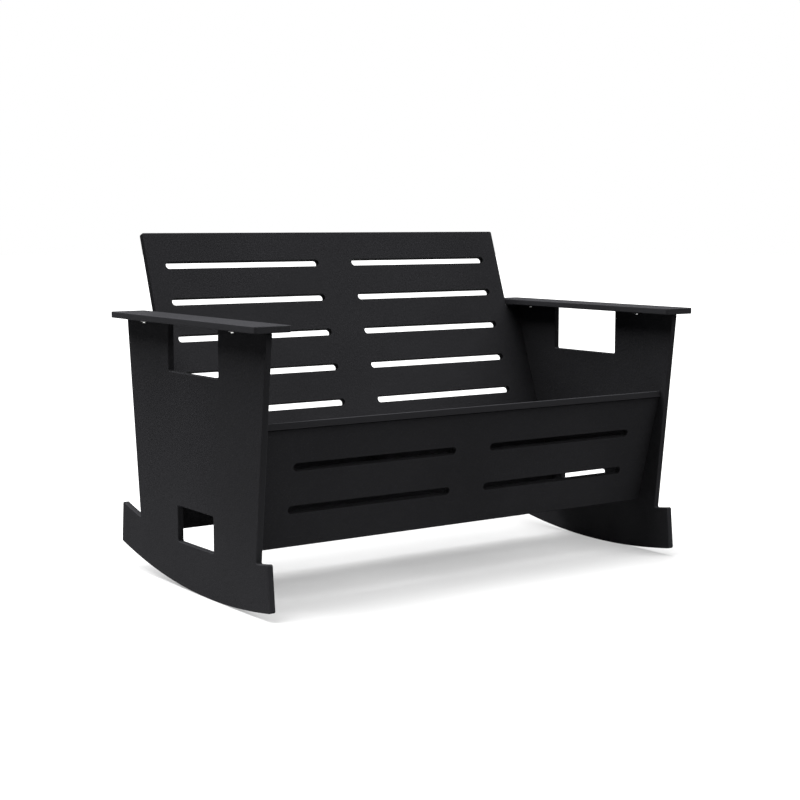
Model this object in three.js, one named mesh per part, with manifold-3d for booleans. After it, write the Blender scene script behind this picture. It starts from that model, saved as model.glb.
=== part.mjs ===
// Rocking bench for two people, of flat plastic sheets screwed together through hidden battens.
// Millimetres, +Z up, -Y to the front, and the left side as seen from the front is -X.
// The side view is drawn with Y from the lower front corner of the side panels and Z from the floor.
// The finished group is then moved so that the middle of its footprint is the origin.
import * as THREE from "three";
import { mergeVertices } from "three/addons/utils/BufferGeometryUtils.js";
import Module from "manifold-3d";

const degree = THREE.MathUtils.DEG2RAD;

// Stock: the sheet, the square battens, the eased edges and the corners a router leaves.
const sheetThickness = 15.9;
const battenSide = 28;
const edgeRound = 2;
const cornerRadius = 5;

// Clearances: between pieces that bear on each other, past an arm, and past the end of a batten.
const fitGap = 0.3;
const armGap = 1;
const endGap = 3;

// Side panels: over their outer faces, their length along the floor, and the height of the arms.
const benchWidth = 1260;
const panelLength = 761.3;
const armTopHeight = 669.1;
const rockerRadius = 1834.6;
const rockerLowestY = 281.8;
const rockerChord = 24;
const toeLength = 59;
const toeHeight = 110.5;
const toeLean = 5.2 * degree;
const heelLength = 112.7;
const heelHeight = 104;
const heelLean = 4.9 * degree;
const frontEdgeLean = 6.07 * degree;
const rearEdgeLean = 6.4 * degree;

// The hand-hold notch under each arm, between two posts, and the cut-out near the floor.
const frontPostWidth = 223.5;
const rearPostWidth = 228;
const notchDepth = 120.6;
const cutoutFrontInset = 259.6;
const cutoutRearInset = 320;
const cutoutFootHeight = 114.5;
const cutoutHeight = 89.5;
const cutoutRadius = 6;

// Arms: boards centred on the side panels, reaching past their top corners at the front and rear.
const armWidth = 94.5;
const armFrontReach = 17.6;
const armRearReach = 14.4;
const armCornerRadius = 7;

// Back, seat and apron: where each starts in the side view, how it leans and how long it is.
const lowerEdgeHeight = 139;
const backFootInset = 286.9;
const backLean = 19.19 * degree;
const backLength = 771.8;
const seatFrontY = 41.6;
const seatFrontHeight = 445.8;
const seatSlope = 10 * degree;
const apronFootY = 121.6;
const apronLean = 14.35 * degree;
const ribDepth = 120;

// Slots: two columns in each sheet, and the rows of the back, the seat and the apron.
const slotWidth = 18;
const slotInnerX = 54.8;
const slotLength = 465.8;
const backFirstRow = 88.8;
const backRowPitch = 98.8;
const backRows = 5;
const seatFirstRow = 106;
const seatLastRowInset = 80;
const seatRowPitch = 98.8;
const apronRowInset = 95.7;

// Battens: how far their ends stay from the sheet's lower edge or from the arm, and the rib's pair.
const cleatFootInset = 14;
const backCleatTopInset = 45;
const ribCleatLength = 84;
const ribCleatTopInset = 18;
const sideScrewInset = 40;
const faceScrewInset = 78;
const ribScrewInset = 24;

// Arm plates: stainless bars let into the top edges of the side panels, at two places along each arm.
const plateScrewSpacing = 55;
const plateScrewEndInset = 7.5;
const plateWidth = 20;
const plateThickness = 3;
const plateEndRadius = 4;
const frontPlateInset = 116.1;
const rearPlateInset = 140.8;

// Screws: round heads for battens and arms, and a flat head that is flush in the arm plate.
const battenScrew = { shank: 2.4, head: 5, headHeight: 3.4, length: 39 };
const armScrew = { shank: 2.9, head: 6, headHeight: 3.8, length: 15 };
const flushScrew = { shank: 2.1, head: 4.6, headHeight: 2.4, length: 32 };
const screwTip = 2;
const screwSides = 8;
const cutOverrun = 1;

// Steps of the round forms.
const slotEndSteps = 6;
const cornerSteps = 3;
const edgeSteps = 2;

const plastic = { color: 0x232427, roughness: 0.55, metalness: 0 };
const stainless = { color: 0xb9bbbd, roughness: 0.35, metalness: 1 };

const acrossX = new THREE.Vector3(1, 0, 0);
const rearward = new THREE.Vector3(0, 1, 0);
const upward = new THREE.Vector3(0, 0, 1);
const backUp = new THREE.Vector3(0, Math.sin(backLean), Math.cos(backLean));
const seatBack = new THREE.Vector3(0, Math.cos(seatSlope), -Math.sin(seatSlope));
const apronUp = new THREE.Vector3(0, -Math.sin(apronLean), Math.cos(apronLean));
const backFront = new THREE.Vector3().crossVectors(acrossX, backUp);
const seatTop = new THREE.Vector3().crossVectors(acrossX, seatBack);
const apronFront = new THREE.Vector3().crossVectors(acrossX, apronUp);

const innerFaceX = benchWidth / 2 - sheetThickness;
const panelMiddleX = benchWidth / 2 - sheetThickness / 2;
const sheetHalfWidth = innerFaceX - fitGap;
const armUnderside = armTopHeight - sheetThickness;
const panelTop = armUnderside - fitGap;
const rockerCenterZ = Math.sqrt(rockerRadius ** 2 - (rockerChord / 2) ** 2);
const rockerCenter = new THREE.Vector2(rockerLowestY, rockerCenterZ);

// Corners of the side panels: above the toe, above the heel, and at both ends of the top edge.
const heelInnerY = panelLength - heelLength;
const toeInner = new THREE.Vector2(toeLength, arcHeight(toeLength, toeHeight));
const heelInner = new THREE.Vector2(heelInnerY, arcHeight(heelInnerY, heelHeight));
const topFrontY = toeInner.x - (panelTop - toeInner.y) * Math.tan(frontEdgeLean);
const topRearY = heelInner.x + (panelTop - heelInner.y) * Math.tan(rearEdgeLean);
const notchFrontY = topFrontY + frontPostWidth;
const notchRearY = topRearY - rearPostWidth;
const frontPlateY = topFrontY + frontPlateInset;
const rearPlateY = topRearY - rearPlateInset;

const backFoot = sidePoint(panelLength - backFootInset, lowerEdgeHeight);
const seatFoot = sidePoint(seatFrontY, seatFrontHeight).addScaledVector(seatTop, -sheetThickness);
const apronFoot = sidePoint(apronFootY, lowerEdgeHeight);
const backRear = offset(backFoot, backFront, -sheetThickness);
const apronRear = offset(apronFoot, apronFront, -sheetThickness);

const wasm = await Module();
wasm.setup();

// A point of the side view, in the middle plane of the bench.
function sidePoint(y, z) {
  return new THREE.Vector3(0, y, z);
}

// A point moved some distance along a direction.
function offset(point, direction, distance) {
  return point.clone().addScaledVector(direction, distance);
}

// How far a line of the side view runs from its first point to where it crosses another line.
function reach(point, direction, otherPoint, otherDirection) {
  const apart = otherPoint.clone().sub(point);
  const cross = (a, b) => a.y * b.z - a.z * b.y;
  return cross(apart, otherDirection) / cross(direction, otherDirection);
}

// Outline points of a polygon whose corners, given as [x, y, radius], are rounded by their radius.
function roundedOutline(corners) {
  const at = ([x, y]) => new THREE.Vector2(x, y);
  return corners.flatMap((entry, index) => {
    const corner = at(entry);
    const radius = entry[2];
    if (!radius) return [corner];
    const before = at(corners.at(index - 1)).sub(corner).normalize();
    const after = at(corners[(index + 1) % corners.length]).sub(corner).normalize();
    const half = Math.acos(before.dot(after)) / 2;
    const bisector = before.clone().add(after).normalize();
    const center = corner.clone().addScaledVector(bisector, radius / Math.sin(half));
    const start = corner.clone().addScaledVector(before, radius / Math.tan(half)).sub(center);
    const turn = Math.sign(after.cross(before)) * (Math.PI - 2 * half);
    return Array.from({ length: cornerSteps + 1 }, (_, step) =>
      start.clone().rotateAround(new THREE.Vector2(), (turn * step) / cornerSteps).add(center),
    );
  });
}

// Corners of a rectangle from its lower left corner, all rounded alike.
function rectangle(x, y, width, height, radius) {
  return [
    [x, y, radius],
    [x + width, y, radius],
    [x + width, y + height, radius],
    [x, y + height, radius],
  ];
}

// A slot with round ends that runs along X, centred on a row, from its inner end.
function slotOutline(innerX, rowY, side) {
  const radius = slotWidth / 2;
  const middleX = side * (innerX + slotLength / 2);
  const straight = slotLength / 2 - radius;
  const end = (sign) =>
    Array.from({ length: slotEndSteps + 1 }, (_, step) => {
      const angle = -Math.PI / 2 + (Math.PI * step) / slotEndSteps;
      const x = middleX + sign * (straight + radius * Math.cos(angle));
      return new THREE.Vector2(x, rowY + sign * radius * Math.sin(angle));
    });
  return [...end(1), ...end(-1)];
}

// Both slots of each row, at the given distances along the sheet.
function slotRows(rows) {
  return rows.flatMap((row) => [-1, 1].map((side) => slotOutline(slotInnerX, row, side)));
}

// A flat board of some thickness with eased edges: its outline and holes are drawn in X and Y.
function boardGeometry(outline, holes, thickness) {
  const shape = new THREE.Shape(outline);
  shape.holes = holes.map((hole) => new THREE.Path(hole));
  const geometry = new THREE.ExtrudeGeometry(shape, {
    depth: thickness - 2 * edgeRound,
    bevelThickness: edgeRound,
    bevelSize: edgeRound,
    bevelOffset: -edgeRound,
    bevelSegments: edgeSteps,
  });
  return geometry.translate(0, 0, edgeRound);
}

// A named mesh that stands with its own X and Y along two directions, from a point of the bench.
function stand(name, geometry, look, along, up, position) {
  const mesh = new THREE.Mesh(geometry, new THREE.MeshStandardMaterial(look));
  mesh.name = name;
  const facing = new THREE.Vector3().crossVectors(along, up);
  mesh.quaternion.setFromRotationMatrix(new THREE.Matrix4().makeBasis(along, up, facing));
  mesh.position.copy(position);
  mesh.updateMatrixWorld(true);
  return mesh;
}

// A closed mesh in the bench's frame as a solid that can be cut.
function solidOf(mesh) {
  const bare = mesh.geometry.clone().deleteAttribute("normal").deleteAttribute("uv");
  const merged = mergeVertices(bare).applyMatrix4(mesh.matrixWorld);
  return new wasm.Manifold(
    new wasm.Mesh({
      numProp: 3,
      vertProperties: merged.attributes.position.array,
      triVerts: new Uint32Array(merged.index.array),
    }),
  );
}

// Takes the shapes of other meshes out of a mesh, which keeps its own place and frame.
function cut(mesh, cutters) {
  const rest = cutters.reduce((solid, cutter) => solid.subtract(solidOf(cutter)), solidOf(mesh));
  const { numProp, vertProperties, triVerts } = rest.getMesh();
  const geometry = new THREE.BufferGeometry();
  geometry.setAttribute("position", new THREE.Float32BufferAttribute(vertProperties, numProp));
  geometry.setIndex(new THREE.Uint32BufferAttribute(triVerts, 1));
  geometry.applyMatrix4(mesh.matrixWorld.clone().invert());
  mesh.geometry = geometry.toNonIndexed();
  mesh.geometry.computeVertexNormals();
}

// Heights of the rocker's circle, or of a circle inside it by some depth, at a place along the floor.
function arcHeight(y, depth) {
  return rockerCenter.y - Math.sqrt((rockerRadius - depth) ** 2 - (y - rockerCenter.x) ** 2);
}

// Where a line that rises from a corner of the rocker, leaning inward, meets the circle inside it.
function earTip(cornerY, lean, depth) {
  const start = new THREE.Vector2(cornerY, arcHeight(cornerY, 0)).sub(rockerCenter);
  const rise = new THREE.Vector2(Math.sin(lean), Math.cos(lean));
  const middle = start.dot(rise);
  const along = -middle - Math.sqrt(middle ** 2 - start.lengthSq() + (rockerRadius - depth) ** 2);
  return start.addScaledVector(rise, along).add(rockerCenter);
}

// Points strictly between two places on a circle inside the rocker, about a chord apart.
function arcBetween(fromY, toY, depth) {
  const count = Math.max(1, Math.round(Math.abs(toY - fromY) / rockerChord));
  return Array.from({ length: count - 1 }, (_, step) => {
    const y = fromY + ((toY - fromY) * (step + 1)) / count;
    return [y, arcHeight(y, depth), 0];
  });
}

// The recess for an arm plate in the top edge, given from its rear end to its front end.
function plateRecess(plateY) {
  const half = plateWidth / 2 + fitGap;
  const floor = panelTop - plateThickness - fitGap;
  return [
    [plateY + half, panelTop, 0],
    [plateY + half, floor, 0],
    [plateY - half, floor, 0],
    [plateY - half, panelTop, 0],
  ];
}

// One side panel: the rocker with its toe and heel, the leaning edges, the notch and the cut-out.
function sidePanel(name, faceX) {
  const flat = rockerChord / 2;
  const toeTip = earTip(0, toeLean, toeHeight);
  const heelTip = earTip(panelLength, -heelLean, heelHeight);
  const notchFloor = armUnderside - notchDepth;
  const outline = roundedOutline([
    [0, arcHeight(0, 0), cornerRadius],
    ...arcBetween(0, rockerLowestY - flat, 0),
    [rockerLowestY - flat, 0, 0],
    [rockerLowestY + flat, 0, 0],
    ...arcBetween(rockerLowestY + flat, panelLength, 0),
    [panelLength, arcHeight(panelLength, 0), cornerRadius],
    [heelTip.x, heelTip.y, cornerRadius],
    ...arcBetween(heelTip.x, heelInner.x, heelHeight),
    [heelInner.x, heelInner.y, cornerRadius],
    [topRearY, panelTop, cornerRadius],
    ...plateRecess(rearPlateY),
    [notchRearY, panelTop, 0],
    [notchRearY, notchFloor, cornerRadius],
    [notchFrontY, notchFloor, cornerRadius],
    [notchFrontY, panelTop, 0],
    ...plateRecess(frontPlateY),
    [topFrontY, panelTop, cornerRadius],
    [toeInner.x, toeInner.y, cornerRadius],
    ...arcBetween(toeInner.x, toeTip.x, toeHeight),
    [toeTip.x, toeTip.y, cornerRadius],
  ]);
  const cutoutLength = panelLength - cutoutFrontInset - cutoutRearInset;
  const cutout = roundedOutline(
    rectangle(cutoutFrontInset, cutoutFootHeight, cutoutLength, cutoutHeight, cutoutRadius),
  );
  const geometry = boardGeometry(outline, [cutout], sheetThickness);
  return stand(name, geometry, plastic, rearward, upward, new THREE.Vector3(faceX, 0, 0));
}

// One arm: a plain board over the side panel.
function arm(name, middleX) {
  const frontY = topFrontY - armFrontReach;
  const length = topRearY + armRearReach - frontY;
  const outline = roundedOutline(rectangle(-armWidth / 2, frontY, armWidth, length, armCornerRadius));
  const position = new THREE.Vector3(middleX, 0, armUnderside);
  return stand(name, boardGeometry(outline, [], sheetThickness), plastic, acrossX, rearward, position);
}

// The back: narrow between the arms, and with shoulders below them that reach the side panels.
function backPanel() {
  const neck = panelMiddleX - armWidth / 2 - armGap;
  const shoulder = (armUnderside - endGap - backFoot.z) / Math.cos(backLean);
  const half = [
    [sheetHalfWidth, 0, cornerRadius],
    [sheetHalfWidth, shoulder, cornerRadius],
    [neck, shoulder, cornerRadius],
    [neck, backLength, cornerRadius],
  ];
  const mirrored = half.map(([x, y, radius]) => [-x, y, radius]).reverse();
  const topRow = backLength - backFirstRow;
  const rows = Array.from({ length: backRows }, (_, row) => topRow - row * backRowPitch);
  const outline = roundedOutline([...half, ...mirrored]);
  const geometry = boardGeometry(outline, slotRows(rows), sheetThickness);
  return stand("back_panel", geometry, plastic, acrossX, backUp, backRear);
}

// The seat: from its free front edge down to the back, square cut, so its lower corner meets the back.
function seatPanel() {
  const depth = reach(seatFoot, seatBack, backFoot, backUp) - fitGap / Math.cos(backLean - seatSlope);
  const outline = roundedOutline(
    rectangle(-sheetHalfWidth, 0, 2 * sheetHalfWidth, depth, cornerRadius),
  );
  const lastRows = Math.floor((depth - seatFirstRow - seatLastRowInset) / seatRowPitch);
  const rows = Array.from({ length: lastRows + 1 }, (_, row) => seatFirstRow + row * seatRowPitch);
  const geometry = boardGeometry(outline, slotRows(rows), sheetThickness);
  return stand("seat_panel", geometry, plastic, acrossX, seatBack, seatFoot);
}

// The apron: its upper edge is sawn to the slope of the seat, which rests on it.
function frontApron() {
  const underSeat = offset(seatFoot, seatTop, -fitGap);
  const length = reach(apronFoot, apronUp, underSeat, seatBack);
  const outline = roundedOutline(
    rectangle(-sheetHalfWidth, 0, 2 * sheetHalfWidth, length, cornerRadius),
  );
  const rows = slotRows([apronRowInset, length - apronRowInset]);
  const geometry = boardGeometry(outline, rows, sheetThickness);
  const apron = stand("front_apron", geometry, plastic, acrossX, apronUp, apronRear);
  const saw = new THREE.BoxGeometry(benchWidth, 2 * length, length).translate(0, 0, length / 2);
  cut(apron, [stand("saw", saw, plastic, acrossX, seatBack, underSeat)]);
  return apron;
}

// The rib under the middle of the seat: it fills the side view between apron, seat and back.
function centerRib() {
  const front = offset(apronRear, apronFront, -fitGap);
  const rear = offset(backFoot, backFront, fitGap);
  const top = offset(seatFoot, seatTop, -fitGap);
  const bottom = offset(top, seatTop, -ribDepth);
  const corner = (level, line, up) => {
    const point = offset(level, seatBack, reach(level, seatBack, line, up));
    return [point.y, point.z, 0];
  };
  const outline = roundedOutline([
    corner(bottom, front, apronUp),
    corner(bottom, rear, backUp),
    corner(top, rear, backUp),
    corner(top, front, apronUp),
  ]);
  const geometry = boardGeometry(outline, [], sheetThickness);
  const position = new THREE.Vector3(-sheetThickness / 2, 0, 0);
  return stand("seat_center_rib", geometry, plastic, rearward, upward, position);
}

// A square batten along a sheet: it starts at one distance up the sheet, on one of its faces.
function batten(name, place) {
  const { middleX, foot, up, facing, start, end } = place;
  const outline = roundedOutline(rectangle(-battenSide / 2, start, battenSide, end - start, 0));
  const position = offset(foot, facing, -battenSide - fitGap);
  position.x = middleX;
  const along = up.clone().cross(facing);
  const mesh = stand(name, boardGeometry(outline, [], battenSide), plastic, along, up, position);
  return { mesh, ...place };
}

// The distances along a sheet between which each kind of batten fits.
const cleatMiddleX = innerFaceX - fitGap - battenSide / 2;
const cleatDepth = battenSide + fitGap;
const backCleatEnd = (armUnderside - backFoot.z) / Math.cos(backLean) - backCleatTopInset;
const apronCleatBack = offset(apronRear, apronFront, -cleatDepth);
const apronCleatEnd = reach(apronCleatBack, apronUp, seatFoot, seatBack) - endGap;
const seatCleatBottom = offset(seatFoot, seatTop, -cleatDepth);
const seatCleatStart = reach(seatCleatBottom, seatBack, apronCleatBack, apronUp) + endGap;
const seatCleatEnd = reach(seatCleatBottom, seatBack, backFoot, backUp) - endGap;

// The battens of one side of the bench, and the pair beside the rib.
function sideBattens(side, sign) {
  const middleX = sign * cleatMiddleX;
  const start = cleatFootInset;
  const onBack = { middleX, foot: backRear, up: backUp, facing: backFront };
  const onApron = { middleX, foot: apronRear, up: apronUp, facing: apronFront };
  const onSeat = { middleX, foot: seatFoot, up: seatBack, facing: seatTop };
  return {
    back: batten(`${side}_back_cleat`, { ...onBack, start, end: backCleatEnd }),
    apron: batten(`${side}_apron_cleat`, { ...onApron, start, end: apronCleatEnd }),
    seat: batten(`${side}_seat_cleat`, { ...onSeat, start: seatCleatStart, end: seatCleatEnd }),
  };
}

// A round-headed or flat-headed screw: its own Y axis points out of the head, from the head's seat.
function screwGeometry({ shank, head, headHeight, length }, flush) {
  const tip = [
    [0, -length],
    [shank, screwTip - length],
  ];
  const round = [
    [shank, 0],
    [head, 0],
    [head, headHeight / 2],
    [head * Math.SQRT1_2, headHeight],
    [0, headHeight],
  ];
  const flat = [
    [shank, -headHeight],
    [head, 0],
    [0, 0],
  ];
  const profile = [...tip, ...(flush ? flat : round)].map(([x, y]) => new THREE.Vector2(x, y));
  return new THREE.LatheGeometry(profile, screwSides);
}

// The hole for a screw: its shank and, for a flush head, its cone, all wider by the gap.
function screwHole({ shank, head, headHeight, length }, flush) {
  const sink = [
    [shank + fitGap, -headHeight - fitGap],
    [head + fitGap, -fitGap],
    [head + fitGap, cutOverrun],
    [0, cutOverrun],
  ];
  const straight = [
    [shank + fitGap, cutOverrun],
    [0, cutOverrun],
  ];
  const foot = [
    [0, -length - fitGap],
    [shank + fitGap, -length - fitGap],
  ];
  const profile = [...foot, ...(flush ? sink : straight)].map(([x, y]) => new THREE.Vector2(x, y));
  return new THREE.LatheGeometry(profile, screwSides);
}

// Drives a screw from a point on a face, along the way out of the head, and drills what it passes.
function drive(name, kind, seat, out, pieces, flush = false) {
  const nearest = Math.abs(out.x) > Math.SQRT1_2 ? rearward : acrossX;
  const sideways = nearest.clone().projectOnPlane(out).normalize();
  const place = (geometry, lift) =>
    stand(name, geometry, stainless, sideways, out, offset(seat, out, lift));
  const hole = place(screwHole(kind, flush), 0);
  pieces.forEach((piece) => cut(piece, [hole]));
  return place(screwGeometry(kind, flush), flush ? 0 : fitGap);
}

// The screws of one batten: across it into the side panel or rib, and through it into its sheet.
function battenScrews(cleat, insets, name, sideDirection, sideSheet, faceSheet) {
  const { mesh, middleX, foot, up, facing, start, end } = cleat;
  const center = offset(foot, facing, -fitGap - battenSide / 2);
  const sideSeat = middleX - (sideDirection * battenSide) / 2;
  const paired = end - start > 2 * faceScrewInset;
  const ends = (inset) => (paired ? [start + inset, end - inset] : [start + inset]);
  const across = ends(insets.side).map((distance, index) => {
    const seat = offset(center, up, distance).setX(sideSeat);
    const out = acrossX.clone().multiplyScalar(-sideDirection);
    return drive(`${name}_side_screw_${index + 1}`, battenScrew, seat, out, [mesh, sideSheet]);
  });
  const through = ends(insets.face).map((distance, index) => {
    const seat = offset(offset(center, up, distance), facing, -battenSide / 2).setX(middleX);
    const out = facing.clone().negate();
    return drive(`${name}_sheet_screw_${index + 1}`, battenScrew, seat, out, [mesh, faceSheet]);
  });
  return [...across, ...through];
}

// One arm plate with its two screws up into the arm and its flush screw down into the side panel.
function armPlate(name, outward, middleX, plateY, panel, armBoard) {
  const length = plateScrewSpacing + 2 * plateScrewEndInset;
  const outline = roundedOutline(
    rectangle(-length / 2, -plateWidth / 2, length, plateWidth, plateEndRadius),
  );
  const geometry = new THREE.ExtrudeGeometry(new THREE.Shape(outline), {
    depth: plateThickness,
    bevelEnabled: false,
  });
  const base = new THREE.Vector3(middleX, plateY, panelTop - plateThickness);
  const plate = stand(`${name}_arm_plate`, geometry, stainless, acrossX, rearward, base);
  const down = upward.clone().negate();
  const armScrews = [-1, 1].map((sign) => {
    const seat = offset(base, acrossX, (sign * plateScrewSpacing) / 2);
    const facing = sign === outward ? "outer" : "inner";
    return drive(`${name}_arm_screw_${facing}`, armScrew, seat, down, [plate, armBoard]);
  });
  const top = offset(base, upward, plateThickness);
  const panelScrew = drive(`${name}_panel_screw`, flushScrew, top, upward, [plate, panel], true);
  return [plate, ...armScrews, panelScrew];
}

// The whole bench: sheets first, then battens, then everything that drills them.
function bench() {
  const group = new THREE.Group();
  const back = backPanel();
  const seat = seatPanel();
  const apron = frontApron();
  const rib = centerRib();
  group.add(back, seat, apron, rib);
  for (const [side, sign] of Object.entries({ left: -1, right: 1 })) {
    const middleX = sign * panelMiddleX;
    const panel = sidePanel(`${side}_side_panel`, middleX - sheetThickness / 2);
    const armBoard = arm(`${side}_arm`, middleX);
    const battens = sideBattens(side, sign);
    const insets = { side: sideScrewInset, face: faceScrewInset };
    group.add(panel, armBoard, ...Object.values(battens).map(({ mesh }) => mesh));
    group.add(...battenScrews(battens.back, insets, `${side}_back_cleat`, sign, panel, back));
    group.add(...battenScrews(battens.apron, insets, `${side}_apron_cleat`, sign, panel, apron));
    group.add(...battenScrews(battens.seat, insets, `${side}_seat_cleat`, sign, panel, seat));
    group.add(...armPlate(`${side}_front`, sign, middleX, frontPlateY, panel, armBoard));
    group.add(...armPlate(`${side}_rear`, sign, middleX, rearPlateY, panel, armBoard));
  }
  group.add(...ribBattens(rib, apron, back));
  group.position.y = -new THREE.Box3().setFromObject(group, true).getCenter(new THREE.Vector3()).y;
  return group;
}

// The two battens that fix the rib, on its right side, to the apron and to the back.
function ribBattens(rib, apron, back) {
  const middleX = sheetThickness / 2 + fitGap + battenSide / 2;
  const frontEnd = reach(apronCleatBack, apronUp, seatFoot, seatBack) - ribCleatTopInset;
  const rearFoot = offset(backFoot, backFront, cleatDepth);
  const rearEnd = reach(rearFoot, backUp, seatFoot, seatBack) - ribCleatTopInset;
  const front = batten("rib_front_cleat", {
    middleX,
    foot: apronRear,
    up: apronUp,
    facing: apronFront,
    start: frontEnd - ribCleatLength,
    end: frontEnd,
  });
  const rear = batten("rib_rear_cleat", {
    middleX,
    foot: backFoot,
    up: backUp,
    facing: backFront.clone().negate(),
    start: rearEnd - ribCleatLength,
    end: rearEnd,
  });
  const insets = { side: ribScrewInset, face: ribCleatLength - ribScrewInset };
  return [
    front.mesh,
    rear.mesh,
    ...battenScrews(front, insets, "rib_front_cleat", -1, rib, apron),
    ...battenScrews(rear, insets, "rib_rear_cleat", -1, rib, back),
  ];
}

export default bench();
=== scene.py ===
"""Rocking bench for two: the visual model, built as an add-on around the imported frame.

Metres, +Z up, -Y to the front. Left is -X, as seen by someone who faces the bench.
Each board is shaped lying flat, with X along it, Y up it and Z through its thickness.
It is then stood in its place, so every finished object sits at the origin.
"""
import math
from types import SimpleNamespace

import bmesh
import bpy
from bpy.props import FloatProperty, FloatVectorProperty, IntProperty, PointerProperty
from mathutils import Matrix, Vector


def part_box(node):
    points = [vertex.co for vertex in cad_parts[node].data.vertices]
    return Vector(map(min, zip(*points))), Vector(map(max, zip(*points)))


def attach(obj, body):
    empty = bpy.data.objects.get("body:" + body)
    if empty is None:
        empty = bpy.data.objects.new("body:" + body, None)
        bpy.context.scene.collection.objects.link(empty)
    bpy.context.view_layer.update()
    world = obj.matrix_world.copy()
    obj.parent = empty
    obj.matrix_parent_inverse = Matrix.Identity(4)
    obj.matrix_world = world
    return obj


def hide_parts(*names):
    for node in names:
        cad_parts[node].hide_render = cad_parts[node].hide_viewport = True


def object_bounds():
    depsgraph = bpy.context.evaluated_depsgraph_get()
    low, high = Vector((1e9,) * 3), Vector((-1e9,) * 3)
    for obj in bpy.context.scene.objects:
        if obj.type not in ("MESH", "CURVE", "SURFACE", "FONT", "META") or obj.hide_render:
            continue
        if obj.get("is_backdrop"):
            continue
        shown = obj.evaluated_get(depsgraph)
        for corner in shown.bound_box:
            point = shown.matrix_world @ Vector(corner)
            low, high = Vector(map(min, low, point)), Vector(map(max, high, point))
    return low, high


bl_info = {
    "name": "Rocking bench",
    "version": (1, 0, 0),
    "blender": (4, 5, 0),
    "location": "3D View > Sidebar > Bench",
    "description": "Builds a rocking bench of slotted plastic sheets around its packed frame",
    "category": "Add Mesh",
}

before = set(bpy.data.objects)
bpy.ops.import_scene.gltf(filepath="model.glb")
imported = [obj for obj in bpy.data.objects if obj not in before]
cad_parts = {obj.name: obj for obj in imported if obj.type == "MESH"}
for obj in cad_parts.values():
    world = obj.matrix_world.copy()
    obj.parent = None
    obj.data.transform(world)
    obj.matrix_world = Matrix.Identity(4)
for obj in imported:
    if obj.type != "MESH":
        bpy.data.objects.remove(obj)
CAD_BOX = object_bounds()
BODY = "root"
_, PANEL_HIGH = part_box("right_side_panel")
ARM_LOW, ARM_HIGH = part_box("right_arm")

# Directions of the bench, and its two sides.
ACROSS = Vector((1, 0, 0))
REARWARD = Vector((0, 1, 0))
UPWARD = Vector((0, 0, 1))
SIDES = (("left", -1), ("right", 1))

# The outline of a side panel, and where the sheets start in the side view.
ROCKER_LOWEST_Y = 0.2818
TOE_LEAN, HEEL_LEAN = math.radians(5.2), math.radians(4.9)
TIP_REACH, TIP_TOP = 0.05, 0.25
FRONT_EDGE_LEAN, REAR_EDGE_LEAN = math.radians(6.07), math.radians(6.4)
ARM_FRONT_REACH = 0.0176
LOWER_EDGE_HEIGHT = 0.139
BACK_FOOT_Y = 0.4744
APRON_FOOT_Y = 0.1216
SEAT_FRONT_Y, SEAT_FRONT_HEIGHT = 0.0416, 0.4458

# Clearances, and how far a cutter runs past what it cuts.
FIT_GAP = 0.0003
ARM_GAP = 0.001
END_GAP = 0.003
OVERRUN = 0.004
CONE_OVERRUN = 0.00001

# Battens: their ends, and the distances of their screws from those ends.
CLEAT_FOOT_INSET = 0.014
BACK_CLEAT_TOP_INSET = 0.045
RIB_CLEAT_LENGTH, RIB_CLEAT_TOP_INSET = 0.084, 0.018
SIDE_SCREW_INSET, FACE_SCREW_INSET, RIB_SCREW_INSET = 0.040, 0.078, 0.024

# Screws: shank radius, head radius, head height and length under the head, or over all
# where the head is flush.
SCREWS = {
    "batten": (0.0024, 0.005, 0.0034, 0.039),
    "arm": (0.0029, 0.0046, 0.0030, 0.015),
    "flush": (0.0021, 0.0046, 0.0024, 0.032),
}
POINT_LENGTH, POINT_SHARE = 0.002, 0.15
THREAD_PITCH, THREAD_DEPTH = 0.0018, 0.00045
FLUSH_RIM = 0.0001
SOCKET_DEPTH_SHARE, SOCKET_RADIUS_SHARE = 0.6, 0.42

# One turn of the thread: shares of its pitch, each with its share of the thread's depth.
THREAD_TURN = ((0.35, 0), (0.60, 1), (0.75, 1), (1.0, 0))

# The domed head: shares of its height, each with its share of the head's radius.
DOMED_HEAD = ((0.0, 1.0), (0.30, 1.0), (0.62, 0.93), (0.86, 0.76), (1.0, 0.50))

# Arm plates: length across the panel, width along it, thickness, and where they lie.
PLATE_SIZE = (0.070, 0.020, 0.003)
PLATE_SCREW_SPACING = 0.055
FRONT_PLATE_INSET, REAR_PLATE_INSET = 0.1161, 0.1408
PLATE_CORNER, PLATE_EDGE = 0.004, 0.0004
ARM_CORNER = 0.007

# Fineness of the round forms.
ROCKER_SIDES = 1440
HOLE_SIDES, SCREW_SIDES, SOCKET_SIDES = 32, 24, 6
CORNER_STEPS, SLOT_END_STEPS, EDGE_STEPS, PLATE_EDGE_STEPS = 6, 12, 3, 2
SMOOTH_ANGLE = math.radians(32)
CORNER_ANGLE = math.radians(20)
ARRIS_ANGLE = math.radians(50)

# Steps of an arc within so many radii of a corner are joined before it is rounded, and the
# slots of the back and the seat are eased by this share of the outlines' easing.
CROWDED_RADII = 1.7
FINE_ARRIS = 0.5

# How closely points and directions have to agree.
CUT_TOLERANCE = 0.000001
WELD_DISTANCE = 0.00002
NEARLY_ALONG = 0.999
NEAR = 0.001

# Edge masks: how squarely a surface faces through its sheet, from its face to its edge, and from
# the middle of the edge to its rounding. They carry the painted light and shade on the edges, the
# painted highlight or shade along their rounding, and the cutter marks.
FACE_TO_EDGE = (0.985, 0.9)
EDGE_TO_ARRIS = (0.12, 0.4)
PLASTIC_IOR = 1.49

# From where to where in its noise a cloud, a fleck or a scuff sets in.
CLOUDS, FLECKS, SCUFFS = (0.3, 0.7), (0.66, 0.76), (0.62, 0.78)
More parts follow.
